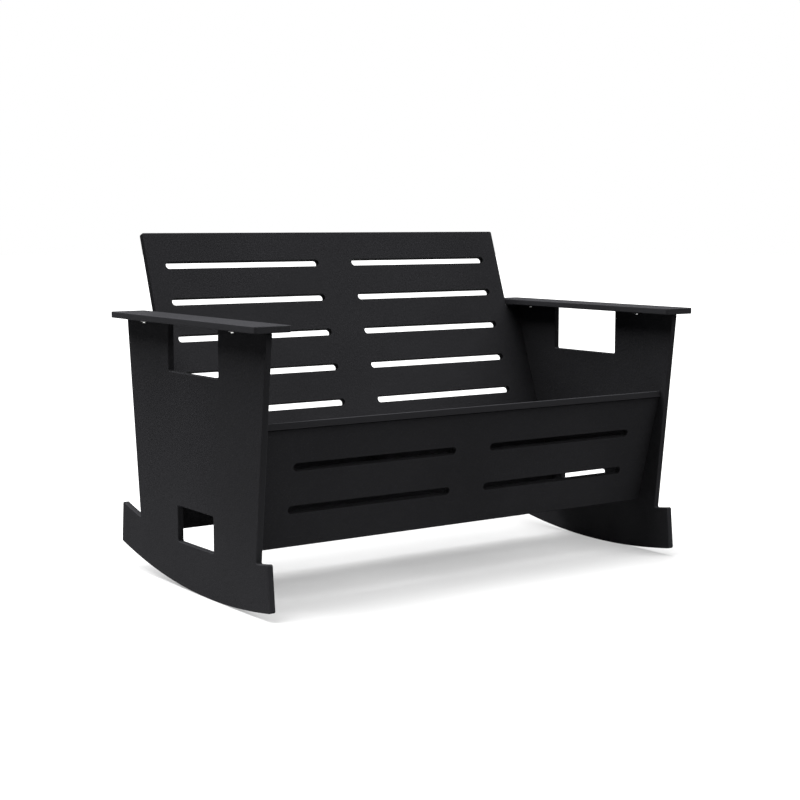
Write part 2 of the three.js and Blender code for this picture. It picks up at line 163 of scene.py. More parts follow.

# Seeds and tones of the sheets: side panels, arms and the sheets between them. A tone is
# against the sheet's colour: painted light and shade on the edges, a painted highlight or shade
# along their rounding, and painted shade on the faces, set sheet by sheet.
# The right side panel's faces are drawn darker, as painted shade.
PANEL_LOOKS = ((1.3, 1.05, 1.9, 1.0), (2.3, 1.05, 1.9, 0.9))
ARM_LOOKS = ((4.1, 1.4, 2.2, 1.0), (5.1, 1.4, 2.2, 1.0))
SHEET_LOOKS = ((7.7, 0.4, 0.7, 1.0), (8.7, 0.95, 3.0, 1.0), (9.7, 0.3, 0.4, 1.0))
RIB_LOOK = (11.0, 1.05, 1.9, 1.0)

FLOOR_RADIUS, FLOOR_SIDES = 40, 96


def setting(kind, **fixed):
    """A maker of settings of one kind. Each takes its name, its description and its default."""
    def make(name, description, default):
        return kind(name=name, description=description, default=default, **fixed)

    return make


metres = setting(FloatProperty, unit="LENGTH", precision=4)
metres_pair = setting(FloatVectorProperty, size=2, unit="LENGTH", precision=4)
angle = setting(FloatProperty, unit="ROTATION")
heading = setting(FloatVectorProperty, size=3, subtype="XYZ")
spot = setting(FloatVectorProperty, size=3, subtype="XYZ", unit="LENGTH")
amount = setting(FloatProperty, min=0)
share = setting(FloatProperty, min=0, max=1, subtype="FACTOR")
colour = setting(FloatVectorProperty, min=0, max=1, size=3, subtype="COLOR")
rows = setting(IntProperty, min=1)


class BenchBoards(bpy.types.PropertyGroup):
    """Sizes of the boards"""

    thickness: metres("Sheet thickness", "Thickness of every sheet", ARM_HIGH.z - ARM_LOW.z)
    edge_round: metres("Eased edge", "Radius of the rounding along every edge", 0.002)
    corner_radius: metres("Corner radius", "Radius of the corners of the outlines", 0.005)
    bench_width: metres(
        "Bench width", "Width over the outer faces of the side panels", 2 * PANEL_HIGH.x,
    )
    arm_width: metres("Arm width", "Width of each arm", ARM_HIGH.x - ARM_LOW.x)
    arm_length: metres("Arm length", "Length of each arm", ARM_HIGH.y - ARM_LOW.y)
    back_length: metres("Back length", "Length of the back up its slope", 0.7718)
    back_lean: angle("Back lean", "How far the back leans from upright", math.radians(19.19))
    seat_slope: angle("Seat slope", "How far the seat drops towards the back", math.radians(10))
    apron_lean: angle("Apron lean", "How far its top leans to the front", math.radians(14.35))
    rib_depth: metres("Rib depth", "Depth of the rib under the seat", 0.120)
    batten_side: metres("Batten side", "Side of the square battens", 0.028)


class BenchSidePanels(bpy.types.PropertyGroup):
    """Sizes of the side panels"""

    length: metres("Panel length", "Length of a side panel over its toe and heel", 0.7613)
    rocker_radius: metres("Rocker radius", "Radius of the arc that the bench rocks on", 1.8346)
    toe_length: metres("Toe length", "Length of the toe at the front of the rocker", 0.059)
    toe_height: metres("Toe height", "Height of the toe above the rocker's arc", 0.1105)
    heel_length: metres("Heel length", "Length of the heel at the rear of the rocker", 0.1127)
    heel_height: metres("Heel height", "Height of the heel above the rocker's arc", 0.104)
    front_post: metres("Front post", "Width of the panel in front of the hand hold", 0.2235)
    rear_post: metres("Rear post", "Width of the panel behind the hand hold", 0.228)
    notch_depth: metres("Hand hold depth", "Depth of the hand hold under the arm", 0.1206)
    cutout_low: metres_pair(
        "Low cut-out corner", "Front lower corner of the low cut-out", (0.2596, 0.1145),
    )
    cutout_size: metres_pair("Low cut-out size", "Its length and height", (0.1817, 0.0895))


class BenchSlots(bpy.types.PropertyGroup):
    """Sizes and rows of the slots"""

    width: metres("Slot width", "Width of each slot", 0.018)
    length: metres("Slot length", "Length of each slot", 0.4658)
    inner: metres("Solid middle", "From the middle of a sheet to the end of a slot", 0.0548)
    pitch: metres("Row pitch", "Distance between rows in the back and the seat", 0.0988)
    back_rows: rows("Rows in the back", "How many rows of slots the back has", 5)
    back_first: metres("First row of the back", "Its distance from the top edge", 0.0888)
    seat_rows: rows("Rows in the seat", "How many rows of slots the seat has", 4)
    seat_first: metres("First row of the seat", "Its distance from the front edge", 0.106)
    apron_inset: metres("Rows of the apron", "Their distance from its long edges", 0.0957)


class BenchFinish(bpy.types.PropertyGroup):
    """Colours and gloss"""

    sheet_colour: colour(
        "Sheet colour", "Colour of the plastic, all the way through", (0.0268, 0.0268, 0.0291),
    )
    sheet_roughness: share("Sheet roughness", "Roughness of the matt faces", 0.7)
    sheet_gloss: share("Sheet gloss", "Strength of the sheet's reflection", 0.007)
    # The plates' colour is painted shade: steel drawn nearly black for their place under the arms.
    plate_shade_colour: colour(
        "Plate colour", "Colour of the arm plates, of darkened steel", (0.035, 0.035, 0.036),
    )
    screw_colour: colour("Screw colour", "Colour of the bright screws", (0.62, 0.62, 0.61))
    steel_roughness: share("Steel roughness", "Roughness of the plates and screws", 0.3)


class BenchStudio(bpy.types.PropertyGroup):
    """Camera, floor and light"""

    camera_place: spot("Camera place", "Where the camera stands", (-2.37688, -3.3578, 0.89436))
    camera_yaw: angle("Camera yaw", "How far it turns to the right", math.radians(35.18278))
    camera_dip: angle("Camera dip", "How far it looks down", math.radians(6.44143))
    lens: FloatProperty(
        name="Lens", description="Focal length on a sensor 36 mm wide",
        default=70.731, subtype="DISTANCE_CAMERA",
    )
    key_strength: amount("Overhead light", "Strength of the broad light over the bench", 7.4)
    key_from: heading(
        "Overhead light from", "Where the overhead light comes from", (-0.235, 0.32, 1.0),
    )
    front_strength: amount("Front light", "Strength of the light before the bench", 2.2)
    front_from: heading("Front light from", "Where the front light comes from", (0.4, -0.6, 1.0))
    light_breadth: angle("Light breadth", "How wide each light looks", math.radians(56))
    floor_near: share("Floor near the bench", "How much light the floor returns there", 0.45)
    floor_far: share("Floor far away", "How much light the floor returns there", 0.07)
    floor_fade: metres("Floor fade", "How far from the bench the far tone begins", 0.6)
    floor_white: amount("Floor white", "Brightness of the lit floor in the picture", 1.64)


def sizes():
    """The sizes of the boards, of the side panels and of the slots."""
    scene = bpy.context.scene
    return scene.bench_boards, scene.bench_panels, scene.bench_slots


# Selecting and shaping.


def clear_selection():
    """Leaves nothing selected, in object mode, so that a new primitive is alone."""
    if bpy.context.mode != "OBJECT":
        bpy.ops.object.mode_set(mode="OBJECT")
    bpy.ops.object.select_all(action="DESELECT")


def take_up(piece):
    """Leaves one object selected and active, in object mode."""
    clear_selection()
    piece.select_set(True)
    bpy.context.view_layer.objects.active = piece


def open_all(piece):
    """Leaves a piece in edit mode, with all of it selected."""
    take_up(piece)
    bpy.ops.object.mode_set(mode="EDIT")
    bpy.ops.mesh.select_all(action="SELECT")


def applied(name):
    """Fixes the place of a new primitive in its mesh, and names it."""
    bpy.ops.object.transform_apply()
    bpy.context.object.name = name
    return bpy.context.object


def block(name, low, high):
    """A cube primitive that fills the space between two corners."""
    clear_selection()
    low, high = Vector(low), Vector(high)
    bpy.ops.mesh.primitive_cube_add(size=1, location=(low + high) / 2, scale=high - low)
    return applied(name)


def cutter(name, low, high):
    """A block that runs through the thickness of a flat board, past both of its faces."""
    return block(name, (*low, -OVERRUN), (*high, sizes()[0].thickness + OVERRUN))


def board(name, left, right, length):
    """A plain board that lies flat, to be cut to its outline."""
    return block(name, (left, 0, 0), (right, length, sizes()[0].thickness))


def disc(name, centre, radius, low, high, sides):
    """A cylinder primitive about a centre of the flat view, from one height to another."""
    clear_selection()
    bpy.ops.mesh.primitive_cylinder_add(
        vertices=sides, radius=radius, depth=high - low, end_fill_type="NGON",
        location=(*centre, (low + high) / 2),
    )
    return applied(name)


def trim(piece, point, outward, clears=True):
    """Cuts a piece along a plane, and takes away what lies beyond it."""
    open_all(piece)
    bpy.ops.mesh.bisect(
        plane_co=point, plane_no=outward, use_fill=clears, clear_outer=clears,
        threshold=CUT_TOLERANCE,
    )
    bpy.ops.object.mode_set(mode="OBJECT")


def part_faces(piece, point, normal):
    """Parts the faces of a piece along a plane. A hole that is cut across that line later
    leaves clean faces, with no edge that strays from it to the outline."""
    trim(piece, point, normal, clears=False)


def modify(piece, kind, **settings):
    """Gives a piece a modifier with these settings, and applies it."""
    take_up(piece)
    modifier = piece.modifiers.new(kind.lower(), kind)
    for name, value in settings.items():
        setattr(modifier, name, value)
    bpy.ops.object.modifier_apply(modifier=modifier.name)


def take_out(piece, *tools):
    """Cuts the shapes of other objects out of a piece, and removes those objects."""
    for tool in tools:
        modify(piece, "BOOLEAN", operation="DIFFERENCE", solver="EXACT", object=tool)
        bpy.data.meshes.remove(tool.data)


def weld(piece):
    """Joins points that lie on each other."""
    open_all(piece)
    bpy.ops.mesh.remove_doubles(threshold=WELD_DISTANCE)
    bpy.ops.object.mode_set(mode="OBJECT")


def repeat(piece, count, step):
    """Repeats a piece along a step, in its own mesh."""
    modify(
        piece, "ARRAY", count=count, use_relative_offset=False, use_constant_offset=True,
        constant_offset_displace=step,
    )


def pick_edges(piece, wanted):
    """Leaves the piece in edit mode, with the edges that pass a test selected."""
    take_up(piece)
    bpy.ops.object.mode_set(mode="EDIT")
    bpy.ops.mesh.select_mode(type="EDGE")
    bpy.ops.mesh.select_all(action="DESELECT")
    view = bmesh.from_edit_mesh(piece.data)
    for edge in view.edges:
        edge.select_set(wanted(edge))
    bmesh.update_edit_mesh(piece.data)


def through(edge):
    """Tells an edge that runs through the thickness of a board that lies flat."""
    run = edge.verts[1].co - edge.verts[0].co
    return len(edge.link_faces) == 2 and abs(run.normalized().z) > NEARLY_ALONG


def is_corner(edge, chosen):
    """Tells a sharp edge through the thickness that is to be rounded."""
    if not through(edge) or edge.calc_face_angle(0) < CORNER_ANGLE:
        return False
    return chosen is None or chosen(edge.verts[0].co)


def round_corners(piece, radius, segments=CORNER_STEPS, chosen=None):
    """Rounds the corners of an outline: the sharp edges that run through the thickness.
    Steps of an arc that are closer to a corner than its rounding are joined first."""
    view = bmesh.new()
    view.from_mesh(piece.data)
    sharp = [edge.verts[0].co.xy for edge in view.edges if is_corner(edge, chosen)]
    view.free()

    def crowds(edge):
        if not through(edge) or edge.calc_face_angle(0) >= CORNER_ANGLE:
            return False
        place = edge.verts[0].co.xy
        return any((place - corner).length < CROWDED_RADII * radius for corner in sharp)

    pick_edges(piece, crowds)
    bpy.ops.mesh.dissolve_edges(use_verts=True)
    pick_edges(piece, lambda edge: is_corner(edge, chosen))
    bpy.ops.mesh.bevel(
        offset_type="OFFSET", offset=radius, segments=segments, profile=0.5,
        affect="EDGES", clamp_overlap=False,
    )
    bpy.ops.object.mode_set(mode="OBJECT")


def mark_arrises(piece, share_at=None):
    """Marks the sharp outer edges of a flat piece that are to be eased, in full or, by a test
    of their place, in part."""
    view = bmesh.new()
    view.from_mesh(piece.data)
    weight = view.edges.layers.float.new("bevel_weight_edge")
    for edge in view.edges:
        sharp = len(edge.link_faces) == 2 and edge.calc_face_angle(0) > ARRIS_ANGLE
        if sharp and edge.is_convex:
            middle = (edge.verts[0].co + edge.verts[1].co) / 2
            edge[weight] = share_at(middle) if share_at else 1.0
    view.to_mesh(piece.data)
    view.free()


def stand(piece, along, up, foot):
    """Stands a board that lies flat: its X along one direction and its Y up another."""
    turn = Matrix((along, up, along.cross(up))).transposed().to_4x4()
    take_up(piece)
    piece.matrix_world = Matrix.Translation(foot) @ turn
    bpy.ops.object.transform_apply()


def ease(piece, radius, segments=EDGE_STEPS):
    """Rounds the marked edges of a piece, and shades it so that its flats stay flat."""
    modify(
        piece, "BEVEL", width=radius, segments=segments, limit_method="WEIGHT",
        loop_slide=False, use_clamp_overlap=False,
    )
    bpy.ops.object.shade_smooth_by_angle(angle=SMOOTH_ANGLE)
    modify(piece, "WEIGHTED_NORMAL", keep_sharp=True)


def copy_of(piece, name):
    """A copy with a mesh of its own."""
    twin = piece.copy()
    twin.data = piece.data.copy()
    twin.name = name
    bpy.context.collection.objects.link(twin)
    return twin


def settle(piece, node, material):
    """Gives a finished piece its material and its body, and hides the frame's node that it stands
    for.
    """
    piece.data.materials.clear()
    piece.data.materials.append(material)
    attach(piece, BODY)
    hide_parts(node)


# The side view, in the plane of the side panels.


def side_origin():
    """Where the side view's zero lies in the frame."""
    return ARM_LOW.y - (top_corners()[0] - ARM_FRONT_REACH)


def side_point(y, z):
    """A point of the side view, measured from the lower front corner of the side panels."""
    return Vector((0, y + side_origin(), z))


def arc_height(y, depth):
    """Height of the rocker's circle, or of one inside it by some depth, at a place along it."""
    _, panels, _ = sizes()
    radius = panels.rocker_radius
    return radius - math.sqrt((radius - depth) ** 2 - (y - ROCKER_LOWEST_Y) ** 2)


def panel_top():
    """Height of the top edge of the side panels, just under the arms."""
    return ARM_LOW.z - FIT_GAP


def top_corners():
    """Where the front and rear edges of a side panel reach its top edge."""
    _, panels, _ = sizes()
    heel_y = panels.length - panels.heel_length
    rise = panel_top() - arc_height(panels.toe_length, panels.toe_height)
    front = panels.toe_length - rise * math.tan(FRONT_EDGE_LEAN)
    rise = panel_top() - arc_height(heel_y, panels.heel_height)
    return front, heel_y + rise * math.tan(REAR_EDGE_LEAN)


def reach(point, direction, other_point, other_direction):
    """How far a line of the side view runs to where it crosses another."""
    apart = other_point - point
    cross = apart.y * other_direction.z - apart.z * other_direction.y
    return cross / (direction.y * other_direction.z - direction.z * other_direction.y)


def sheet_lines():
    """The directions and feet of the back, the seat and the apron."""
    boards, _, _ = sizes()
    lean, slope, tilt = boards.back_lean, boards.seat_slope, boards.apron_lean
    back_up = Vector((0, math.sin(lean), math.cos(lean)))
    seat_back = Vector((0, math.cos(slope), -math.sin(slope)))
    apron_up = Vector((0, -math.sin(tilt), math.cos(tilt)))
    lines = SimpleNamespace(
        back_up=back_up, back_front=ACROSS.cross(back_up),
        seat_back=seat_back, seat_top=ACROSS.cross(seat_back),
        apron_up=apron_up, apron_front=ACROSS.cross(apron_up),
        back_foot=side_point(BACK_FOOT_Y, LOWER_EDGE_HEIGHT),
        apron_foot=side_point(APRON_FOOT_Y, LOWER_EDGE_HEIGHT),
    )
    front_top = side_point(SEAT_FRONT_Y, SEAT_FRONT_HEIGHT)
    lines.seat_foot = front_top - lines.seat_top * boards.thickness
    lines.back_rear = lines.back_foot - lines.back_front * boards.thickness
    lines.apron_rear = lines.apron_foot - lines.apron_front * boards.thickness
    lines.under_seat = lines.seat_foot - lines.seat_top * FIT_GAP
    return lines


def panel_middle():
    """How far the middle of a side panel's thickness is from the middle of the bench."""
    boards, _, _ = sizes()
    return (boards.bench_width - boards.thickness) / 2


def sheet_half_width():
    """Half the width of the sheets that fit between the side panels."""
    return panel_middle() - sizes()[0].thickness / 2 - FIT_GAP


# Materials.


class Signal:
    """An output of a node that takes part in plain sums with numbers and other outputs."""

    def __init__(self, recipe, socket):
        self.recipe = recipe
        self.socket = socket

    def __add__(self, other):
        return self.recipe.sum_of("ADD", self, other)

    def __sub__(self, other):
        return self.recipe.sum_of("SUBTRACT", self, other)

    def __rsub__(self, other):
        return self.recipe.sum_of("SUBTRACT", other, self)

    def __mul__(self, other):
        return self.recipe.sum_of("MULTIPLY", self, other)

    __radd__ = __add__
    __rmul__ = __mul__


class Recipe:
    """The nodes of one material or world."""

    def __init__(self, owner):
        owner.use_nodes = True
        self.owner = owner
        self.tree = owner.node_tree
        self.tree.nodes.clear()

    def node(self, kind, settings, sockets, output=0):
        """Adds a node: its settings first, then the values or links of its sockets."""
        made = self.tree.nodes.new(kind)
        for name, value in settings.items():
            setattr(made, name, value)
        for key, value in sockets.items():
            if isinstance(value, Signal):
                self.tree.links.new(value.socket, made.inputs[key])
            else:
                made.inputs[key].default_value = value
        return Signal(self, made.outputs[output]) if made.outputs else None

    def sum_of(self, operation, first, second=0.0):
        """A plain sum on numbers."""
        return self.node("ShaderNodeMath", {"operation": operation}, {0: first, 1: second})

    def place(self):
        """The place on the object."""
        return self.node("ShaderNodeTexCoord", {}, {}, "Object")

    def noise(self, place, scale, detail=2.0, roughness=0.5):
        """Soft noise from 0 to 1, with so many spots in a metre."""
        sockets = {"Vector": place, "Scale": scale, "Detail": detail, "Roughness": roughness}
        return self.node("ShaderNodeTexNoise", {}, sockets)

    def stretched(self, place, scale):
        """A place with each direction drawn out or pressed together."""
        sockets = {"Vector": place, "Scale": scale}
        return self.node("ShaderNodeMapping", {"vector_type": "TEXTURE"}, sockets)

    def span(self, signal, low, high, start=0.0, end=1.0):
        """A signal spread smoothly from one range to another."""
        sockets = {
            "Value": signal, "From Min": low, "From Max": high, "To Min": start, "To Max": end,
        }
        return self.node("ShaderNodeMapRange", {"interpolation_type": "SMOOTHSTEP"}, sockets)

    def blend(self, mask, first, second):
        """One colour where the mask is 0 and another where it is 1."""
        sockets = {0: mask}
        for key, tint in ((6, first), (7, second)):
            sockets[key] = tint if isinstance(tint, Signal) else (*tint, 1)
        return self.node("ShaderNodeMix", {"data_type": "RGBA"}, sockets, 2)

    def vector(self, operation, first, second=(0, 0, 0), output="Vector"):
        """A plain sum on vectors."""
        settings = {"operation": operation}
        return self.node("ShaderNodeVectorMath", settings, {0: first, 1: second}, output)

    def along_normal(self, direction):
        """How squarely a surface faces a direction, either way: 0 to 1."""
        normal = self.node("ShaderNodeTexCoord", {}, {}, "Normal")
        return self.sum_of("ABSOLUTE", self.vector("DOT_PRODUCT", normal, direction, "Value"))

    def bump(self, height, depth, below=None):
        """A relief of some depth in metres, laid over another."""
        sockets = {"Height": height, "Distance": depth, "Strength": 1.0}
        if below is not None:
            sockets["Normal"] = below
        return self.node("ShaderNodeBump", {}, sockets)

    def surface(self, sockets):
        """Ends a material in a surface with these values and links, and gives the material."""
        shader = self.node("ShaderNodeBsdfPrincipled", {}, sockets)
        self.node("ShaderNodeOutputMaterial", {}, {"Surface": shader})
        return self.owner

    def plastic(self, tint, roughness, relief):
        """Ends a material in black plastic with a faint gloss."""
        gloss = bpy.context.scene.bench_finish.sheet_gloss
        return self.surface({
            "Base Color": tint, "Roughness": roughness, "Normal": relief,
            "IOR": PLASTIC_IOR, "Specular IOR Level": gloss,
        })


def dress_sheet(piece, node, *look):
    """Eases the edges of a sheet that stands in its place, and gives it its look."""
    ease(piece, sizes()[0].edge_round)
    settle(piece, node, sheet_material(*look))


def sheet_material(name, facing, seed, painted_edge_shading, painted_arris_shading, painted_face_shade):
    """Black plastic sheet: matt, faintly pebbled faces, and routed edges with cutter marks, with
    painted light and shade on the edges and a painted highlight or shade along their rounding. A
    face tone below 1 is painted shade on the whole sheet. The facing is the direction through the
    sheet's thickness."""
    look = bpy.context.scene.bench_finish
    recipe = Recipe(bpy.data.materials.new("Black sheet, " + name))
    place = recipe.vector("ADD", recipe.place(), (seed, seed * 0.7, seed * 0.3))
    square = recipe.along_normal(facing)
    edge = recipe.span(square, *FACE_TO_EDGE)
    arris = edge * recipe.span(square, *EDGE_TO_ARRIS)
    flow = recipe.noise(place, scale=2.6, detail=3.0)
    cloud = recipe.noise(place, scale=17.0, detail=3.0)
    pebble = recipe.noise(place, scale=620.0, roughness=0.55)
    swell = recipe.noise(place, scale=150.0)
    fleck = recipe.span(recipe.noise(place, scale=760.0, detail=1.0), *FLECKS)
    streaks = recipe.stretched(place, (0.9, 0.035, 0.05))
    scuff = recipe.span(recipe.noise(streaks, scale=9.0, detail=4.0, roughness=0.6), *SCUFFS)

    tint = Vector(look.sheet_colour)
    # A face tone below 1 paints shade over the whole sheet.
    dark, pale = tint * 0.93 * painted_face_shade, tint * 1.10 * painted_face_shade
    body = recipe.blend(recipe.span(flow, *CLOUDS), dark, pale)
    # Each layer: its mask, how much of it shows, and its tone. Flecks and scuffs are the plastic's
    # own; the edge layer is painted light and shade, and the arris layer a painted highlight or
    # shade along the rounding.
    layers = (
        (fleck, 0.7, 2.6),
        (scuff * (1.0 - edge), 0.3, 1.6),
        (edge, 0.8, painted_edge_shading),
        (arris, 0.3, painted_arris_shading),
    )
    for mask, cover, tone in layers:
        body = recipe.blend(mask * cover, body, tint * tone)

    rough = look.sheet_roughness + 0.05 * (flow - 0.5) + 0.08 * (cloud - 0.5)
    rough = rough - 0.05 * scuff - 0.04 * edge - 0.07 * arris
    in_plane = recipe.vector("SUBTRACT", place, recipe.vector("PROJECT", place, facing))
    cutter_marks = recipe.noise(in_plane, scale=850.0, roughness=0.6)
    relief = recipe.bump((pebble + swell) * (1.0 - edge), depth=0.0006)
    relief = recipe.bump(cutter_marks * edge, depth=0.0003, below=relief)
    return recipe.plastic(body, rough, relief)


def batten_material():
    """Black plastic batten: planed on all sides, with faint lines along it."""
    look = bpy.context.scene.bench_finish
    recipe = Recipe(bpy.data.materials.new("Black batten"))
    place = recipe.place()
    flow = recipe.noise(place, scale=7.0, detail=3.0)
    pebble = recipe.noise(place, scale=520.0)
    lines = recipe.noise(recipe.stretched(place, (1.0, 40.0, 40.0)), scale=700.0)
    tint = Vector(look.sheet_colour)
    body = recipe.blend(flow, tint * 0.9, tint * 1.25)
    rough = look.sheet_roughness + 0.06 + 0.1 * (flow - 0.5)
    relief = recipe.bump(lines, depth=0.0003)
    relief = recipe.bump(pebble, depth=0.0002, below=relief)
    return recipe.plastic(body, rough, relief)


def steel_material(name, tint, grain, depth):
    """Stainless steel: the grain gives the brushed lines, drawn out along its long directions."""
    look = bpy.context.scene.bench_finish
    recipe = Recipe(bpy.data.materials.new(name))
    place = recipe.place()
    brushed = recipe.noise(recipe.stretched(place, grain), scale=2600.0, detail=3.0, roughness=0.6)
    smudge = recipe.noise(place, scale=90.0, detail=3.0)
    tint = Vector(tint)
    return recipe.surface({
        "Base Color": recipe.blend(brushed, tint * 0.82, tint * 1.08),
        "Roughness": look.steel_roughness + 0.12 * (brushed - 0.5) + 0.16 * (smudge - 0.5),
        "Normal": recipe.bump(brushed, depth),
        "Metallic": 1.0,
    })


# Boards.


def cut_slots(sheet, first, count, step):
    """Cuts rows of two slots: the first row at a height, and the others each a step on."""
    _, _, slots = sizes()
    half = slots.width / 2
    for side in (-1, 1):
        part_faces(sheet, (side * (slots.inner + slots.length / 2), 0, 0), ACROSS)
    outer = slots.inner + slots.length
    tool = cutter("slot tool", (-outer, first - half), (-slots.inner, first + half))
    round_corners(tool, half, SLOT_END_STEPS)
    weld(tool)
    repeat(tool, 2, (slots.length + 2 * slots.inner, 0, 0))
    repeat(tool, count, (0, step, 0))
    take_out(sheet, tool)


def fine_in_slots(length):
    """A test of how much of an arris is eased on a sheet of this length: less at the slots
    than along the outline."""
    boards, _, slots = sizes()
    edge, reach_out = boards.thickness, slots.inner + slots.length + slots.width

    def share_at(place):
        in_slot = edge < place.y < length - edge and abs(place.x) < reach_out
        return FINE_ARRIS if in_slot else 1.0

    return share_at


def make_side_panel():
    """One side panel, flat: the rocker with its toe and heel, the hand hold and the cut-out."""
    boards, panels, _ = sizes()
    radius, length = panels.rocker_radius, panels.length
    centre = (ROCKER_LOWEST_Y, radius)
    panel = disc("side_panel", centre, radius, 0, boards.thickness, ROCKER_SIDES)
    trim(panel, (0, panel_top(), 0), (0, 1, 0))
    trim(panel, (0, 0, 0), (-1, 0, 0))
    trim(panel, (length, 0, 0), (1, 0, 0))
    take_out(
        panel, before_end("toe end", 0, way_in(-1, TOE_LEAN)),
        before_end("heel end", length, way_in(1, HEEL_LEAN)),
    )
    toe_y, heel_y = panels.toe_length, length - panels.heel_length
    above_toe = wedge("above toe", panels.toe_height, toe_y, way_in(-1, -FRONT_EDGE_LEAN))
    above_heel = wedge("above heel", panels.heel_height, heel_y, way_in(1, -REAR_EDGE_LEAN))
    front, rear = top_corners()
    hand_hold = cutter(
        "hand hold", (front + panels.front_post, ARM_LOW.z - panels.notch_depth),
        (rear - panels.rear_post, panel_top() + OVERRUN),
    )
    part_faces(panel, (panels.cutout_low[0] + panels.cutout_size[0] / 2, 0, 0), ACROSS)
    low = Vector(panels.cutout_low)
    cutout = cutter("low cut-out", low, low + Vector(panels.cutout_size))
    take_out(panel, above_toe, above_heel, hand_hold, cutout)
    round_corners(panel, boards.corner_radius, chosen=lambda corner: not opens_to_arm(corner))
    half = PLATE_SIZE[1] / 2 + FIT_GAP
    for plate_y in (front + FRONT_PLATE_INSET, rear - REAR_PLATE_INSET):
        low = (plate_y - half, panel_top() - PLATE_SIZE[2] - FIT_GAP)
        take_out(panel, cutter("recess", low, (plate_y + half, panel_top() + OVERRUN)))
    mark_arrises(panel, square_in_recess)
    return panel


def square_in_recess(place):
    """How much of an arris is eased: nothing in the recess of an arm plate."""
    front, rear = top_corners()
    half = PLATE_SIZE[1] / 2 + 2 * FIT_GAP
    along = min(abs(place.x - front - FRONT_PLATE_INSET), abs(place.x - rear + REAR_PLATE_INSET))
    return 0.0 if along < half and place.y > panel_top() - 2 * PLATE_SIZE[2] else 1.0


def way_in(side, lean):
    """The way into a panel from its front edge, side -1, or its rear edge, side 1. The edge
    leans in as it goes up, or out where the lean is negative."""
    return Vector((-side * math.cos(lean), -math.sin(lean), 0))


def before_end(name, y, into):
    """What lies outside the leaning end of a toe or heel, up to a little above it."""
    tool = cutter(name, (y - TIP_REACH, -OVERRUN), (y + TIP_REACH, TIP_TOP))
    trim(tool, (y, arc_height(y, 0), 0), into)
    return tool


def wedge(name, depth, y, into):
    """What lies outside a panel's leaning edge, above the arc of its toe or heel."""
    boards, panels, _ = sizes()
    radius = panels.rocker_radius
    tool = disc(
        name, (ROCKER_LOWEST_Y, radius), radius - depth, -OVERRUN, boards.thickness + OVERRUN,
        ROCKER_SIDES,
    )
    trim(tool, (y, arc_height(y, depth), 0), into)
    trim(tool, (0, panel_top() + OVERRUN, 0), (0, 1, 0))
    return tool


def opens_to_arm(corner):
    """Tells the two corners where the hand hold meets the arm, which stay square."""
    _, panels, _ = sizes()
    front, rear = top_corners()
    at_hold = front + panels.front_post - NEAR < corner.x < rear - panels.rear_post + NEAR
    return at_hold and corner.y > panel_top() - NEAR


def make_arm():
    """One arm, flat: a plain board with rounded corners."""
    boards, _, _ = sizes()
    arm = board("arm", -boards.arm_width / 2, boards.arm_width / 2, boards.arm_length)
    round_corners(arm, ARM_CORNER)
    mark_arrises(arm)
    return arm


def make_back():
    """The back, flat: a neck between the arms, and shoulders that reach the side panels."""
    boards, _, slots = sizes()
    half = sheet_half_width()
    neck = panel_middle() - boards.arm_width / 2 - ARM_GAP
    shoulder = (ARM_LOW.z - END_GAP - LOWER_EDGE_HEIGHT) / math.cos(boards.back_lean)
    sheet = board("back", -half, half, boards.back_length)
    for side in (-1, 1):
        near, far = sorted((side * neck, side * (half + OVERRUN)))
        top = boards.back_length + OVERRUN
        take_out(sheet, cutter("shoulder tool", (near, shoulder), (far, top)))
    round_corners(sheet, boards.corner_radius)
    cut_slots(sheet, boards.back_length - slots.back_first, slots.back_rows, -slots.pitch)
    mark_arrises(sheet, fine_in_slots(boards.back_length))
    return sheet


def make_seat(lines):
    """The seat, flat: from its front edge to the face of the back."""
    boards, _, slots = sizes()
    half = sheet_half_width()
    gap = FIT_GAP / math.cos(boards.back_lean - boards.seat_slope)
    length = reach(lines.seat_foot, lines.seat_back, lines.back_foot, lines.back_up) - gap
    sheet = board("seat", -half, half, length)
    round_corners(sheet, boards.corner_radius)
    cut_slots(sheet, slots.seat_first, slots.seat_rows, slots.pitch)
    mark_arrises(sheet, fine_in_slots(length))
    return sheet


def make_apron(lines):
    """The apron, flat, with its upper edge sawn to the slope of the seat that rests on it."""
    boards, _, slots = sizes()
    half, inset = sheet_half_width(), slots.apron_inset
    up, front, seat_top = lines.apron_up, lines.apron_front, lines.seat_top
    length = reach(lines.apron_foot, up, lines.under_seat, lines.seat_back)
    sheet = board("apron", -half, half, length + boards.thickness)
    round_corners(sheet, boards.corner_radius, chosen=lambda corner: corner.y < length / 2)
    on_seat = lines.under_seat - lines.apron_rear
    sawn = (0, on_seat.dot(up), on_seat.dot(front))
    trim(sheet, sawn, (0, seat_top.dot(up), seat_top.dot(front)))
    cut_slots(sheet, inset, 2, length - 2 * inset)
    mark_arrises(sheet)
    return sheet


def make_rib(lines):
    """The rib, flat: trimmed from a block to the apron, the back and the seat above it."""
    boards, _, _ = sizes()
    size, middle = boards.arm_length, lines.seat_foot.y
    rib = board("rib", middle - size, middle + size, size)
    front, back, top = lines.apron_front, lines.back_front, lines.seat_top
    planes = (
        (lines.apron_rear - front * FIT_GAP, front),
        (lines.back_foot + back * FIT_GAP, -back),
        (lines.under_seat, top),
        (lines.under_seat - top * boards.rib_depth, -top),
    )
    for point, outward in planes:
        trim(rib, (point.y, point.z, 0), (outward.y, outward.z, 0))
    mark_arrises(rib)
    return rib


